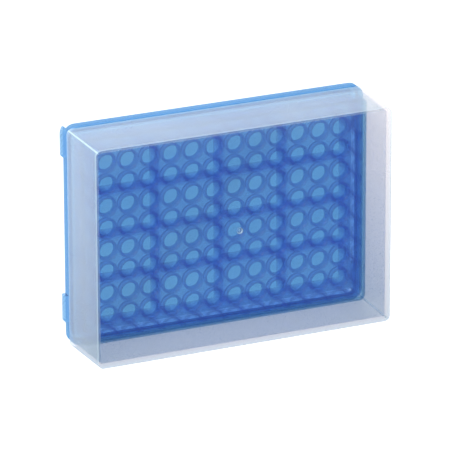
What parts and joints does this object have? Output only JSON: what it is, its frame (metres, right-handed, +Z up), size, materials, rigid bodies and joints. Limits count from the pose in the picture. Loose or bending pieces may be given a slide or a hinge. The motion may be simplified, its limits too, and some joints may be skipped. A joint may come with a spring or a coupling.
{
  "type": "cryogenic storage box",
  "caption": "Shallow blue tray with a drop-in socket rack for small tubes and a deep frosted lift-off lid; stacking tabs below.",
  "frame": {"origin": "centre of the box on the plane that its stacking tabs stand on", "axes": "+X along the long side, +Y along the short side, +Z up towards the lid"},
  "size_m": [0.1262, 0.0902, 0.0353],
  "materials": {
    "base_tray": "satin",
    "tube_rack": "satin",
    "lid": "satin"
  },
  "bodies": {
    "tray": {"base_tray": "base_tray"},
    "rack": {"tube_rack": "tube_rack"},
    "lid": {"lid": "lid"}
  },
  "joints": [
    {"name": "rack_lift", "type": "slide", "parent": "tray", "child": "rack", "axis": [0, 0, 1], "range_m": [0, 0.016]},
    {"name": "lid_lift", "type": "slide", "parent": "tray", "child": "lid", "axis": [0, 0, 1], "range_m": [0, 0.05]}
  ]
}
